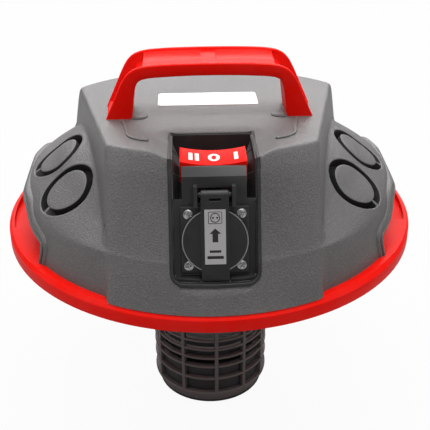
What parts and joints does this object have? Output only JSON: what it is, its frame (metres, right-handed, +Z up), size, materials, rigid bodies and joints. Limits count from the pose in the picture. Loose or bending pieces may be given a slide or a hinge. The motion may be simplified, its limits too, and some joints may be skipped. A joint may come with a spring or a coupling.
{
  "type": "vacuum motor head",
  "caption": "Motor head of a wet and dry shop vacuum: lid ring, dark cover, carry handle, rocker switch, appliance socket and float cage.",
  "frame": {"origin": "centre of the float cage foot, on the axis that the lid ring, the motor shaft and the cage share", "axes": "+Z up along the motor shaft, the switch and socket face -Y, +X is to the right seen from the front"},
  "size_m": [0.345, 0.345, 0.3244],
  "materials": {
    "red_plastic": "smooth moulded red polypropylene, lightly glossy",
    "cover_plastic": "dark grey ABS with a fine eroded grain",
    "black_plastic": "satin black polyamide",
    "cage_plastic": "dark grey polypropylene, satin",
    "label_white": "blank white self-adhesive film",
    "label_silver": "brushed silver self-adhesive film",
    "steel": "zinc plated",
    "aluminium": "die cast",
    "copper": "enamelled copper wire",
    "brass": "bare",
    "rubber": "soft black rubber",
    "foam": "open cell foam",
    "hood_plastic": "moulded",
    "carbon": "pressed carbon",
    "board": "green board",
    "cable_plastic": "sheathed wires"
  },
  "bodies": {
    "root": {"lid_base": "red_plastic", "tank_gasket": "rubber", "inlet_seal": "rubber", "cover": "cover_plastic", "vent_cap_low_right": "cover_plastic", "vent_cap_low_left": "cover_plastic", "vent_cap_high_right": "cover_plastic", "vent_cap_high_left": "cover_plastic", "info_label": "label_white", "handle": "red_plastic", "handle_screws": "steel", "module_housing": "black_plastic", "socket_plate": "black_plastic", "socket_well": "black_plastic", "socket_contacts": "brass", "earth_clip": "steel", "plate_screws": "steel", "lid_hinge_pin": "steel", "lid_spring": "steel", "switch_body": "black_plastic", "rocker_pin": "steel", "float_cage": "cage_plastic", "cage_foot": "cage_plastic", "cage_screws": "steel", "motor_mat": "rubber", "fan_housing": "steel", "diffuser": "steel", "lower_bracket": "aluminium", "upper_bracket": "aluminium", "lower_bearing": "steel", "upper_bearing": "steel", "stator_core": "steel", "field_coils": "copper", "brush_holders": "brass", "carbon_brushes": "carbon", "brush_springs": "steel", "motor_screws": "steel", "clamp_ring": "rubber", "motor_hood": "hood_plastic", "hood_screws": "steel", "sound_foam": "foam", "control_board": "board", "suppressor_capacitor": "aluminium", "terminal_block": "hood_plastic", "wiring_harness": "cable_plastic", "cable_gland": "rubber", "cover_screws": "steel"},
    "rotor": {"motor_shaft": "steel", "armature_core": "steel", "armature_winding": "copper", "commutator": "brass", "impeller_lower": "aluminium", "impeller_upper": "aluminium", "impeller_spacer": "steel", "impeller_nut": "steel", "cooling_fan": "hood_plastic"},
    "switch_rocker": {"rocker": "red_plastic"},
    "lid": {"socket_lid": "black_plastic", "lid_label": "label_silver"},
    "float": {"float_cup": "cage_plastic"}
  },
  "joints": [
    {"name": "motor_spin", "type": "hinge", "parent": "root", "child": "rotor", "pos_m": [0, 0, 0.2], "axis": [0, 0, 1], "continuous": true},
    {"name": "rocker_tilt", "type": "hinge", "parent": "root", "child": "switch_rocker", "pos_m": [0, -0.11, 0.26], "axis": [0, 1, 0], "range_deg": [-8, 8]},
    {"name": "socket_lid_hinge", "type": "hinge", "parent": "root", "child": "lid", "pos_m": [0, -0.13984, 0.26503], "axis": [-1, 0, 0], "range_deg": [0, 100], "stiffness_Nm_per_rad": 0.01, "springref_deg": -34.38},
    {"name": "float_slide", "type": "slide", "parent": "root", "child": "float", "axis": [0, 0, 1], "range_m": [0, 0.0555]}
  ]
}
